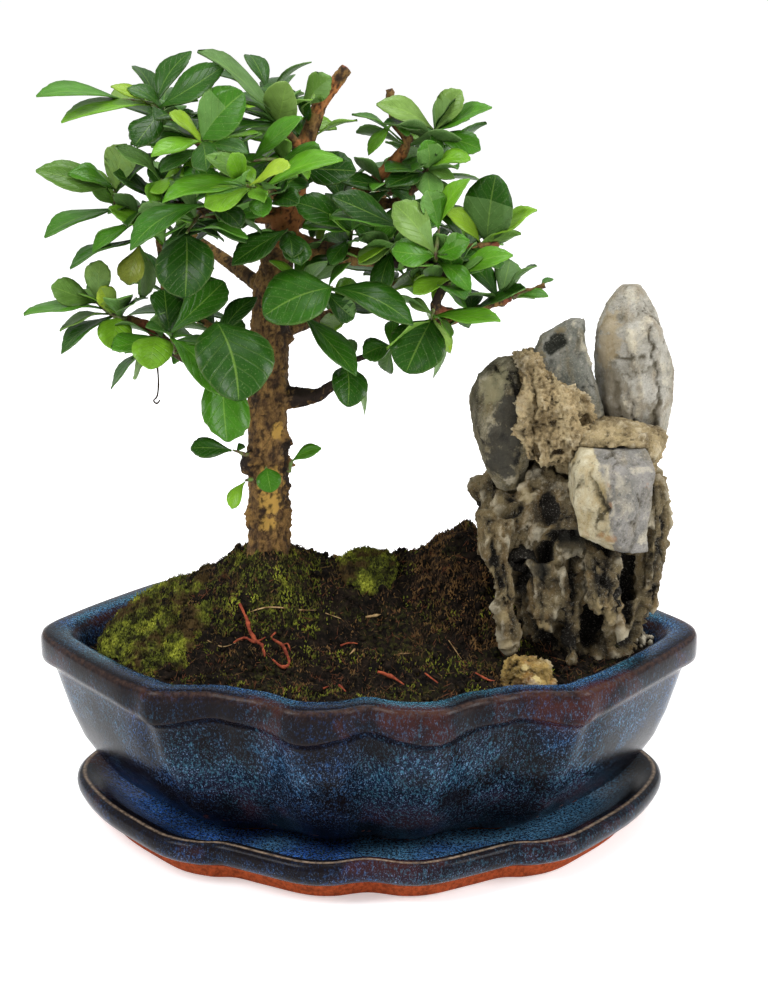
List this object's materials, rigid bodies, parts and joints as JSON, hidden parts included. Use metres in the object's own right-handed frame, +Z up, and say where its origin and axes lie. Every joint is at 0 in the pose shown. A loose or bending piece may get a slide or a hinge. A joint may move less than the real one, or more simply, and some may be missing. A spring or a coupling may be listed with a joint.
{
  "type": "fukien tea bonsai",
  "caption": "Small Fukien tea bonsai with a straight trunk and leafy crown, growing in a lobed blue glazed pot on a drip saucer, beside a standing rock.",
  "frame": {"origin": "on the table surface, under the middle of the saucer", "axes": "+Z up; -Y faces the viewer, with the trunk on the -X side and the rock on the +X side"},
  "size_m": [0.22, 0.158, 0.257],
  "materials": {
    "pot_glaze": "glossy speckled blue glaze",
    "saucer_glaze": "glossy blue glaze over a bare brick-red foot",
    "screen": "matt",
    "soil": "dark damp peat",
    "moss": "soft living moss",
    "bark": "rough tan and brown bark",
    "leaf": "glossy leathery leaf",
    "rock": "rough grey limestone",
    "mortar": "sandy tan mortar"
  },
  "bodies": {
    "root": {"saucer": "saucer_glaze", "pot": "pot_glaze", "drain_screen_left": "screen", "drain_screen_right": "screen", "soil": "soil", "moss_carpet": "moss", "moss_cushion": "moss", "trunk": "bark", "rock_pillar": "rock", "rock_slab": "rock", "rock_boulder": "rock", "rock_block": "rock", "rock_ridge": "rock", "rock_mortar": "mortar", "rock_body": "rock", "foot_stone": "rock", "shoot_upper_left": "leaf", "shoot_upper_front": "leaf", "shoot_upper_middle": "leaf", "shoot_top_leader": "leaf", "shoot_top_centre": "leaf", "shoot_bright_front": "leaf", "shoot_long_left": "leaf", "shoot_left_mid": "leaf", "shoot_left_upper": "leaf", "shoot_left_bud": "leaf", "shoot_lower_left": "leaf", "shoot_left_round": "leaf", "shoot_oval_front": "leaf", "shoot_giant_front": "leaf", "shoot_giant_leaf": "leaf", "shoot_trunk_front": "leaf", "shoot_dark_inner": "leaf", "shoot_trunk_long": "leaf", "shoot_lower_right": "leaf", "shoot_right_low_back": "leaf", "shoot_round_right": "leaf", "shoot_far_right": "leaf", "shoot_right_top": "leaf", "shoot_right_stem": "leaf", "shoot_right_front": "leaf", "shoot_right_inner": "leaf", "shoot_right_inner_low": "leaf", "shoot_right_upright": "leaf", "shoot_right_crown": "leaf", "shoot_right_stub": "leaf", "shoot_right_neck": "leaf", "shoot_trunk_low_left": "leaf", "shoot_trunk_low_bud": "leaf", "shoot_trunk_low_front": "leaf", "shoot_trunk_low_right": "leaf", "shoot_back_left": "leaf", "shoot_back_middle": "leaf", "shoot_back_right": "leaf", "shoot_back_top": "leaf", "shoot_back_low_right": "leaf", "shoot_back_low_left": "leaf", "shoot_right_back": "leaf", "shoot_upper_left_back": "leaf"}
  },
  "joints": []
}
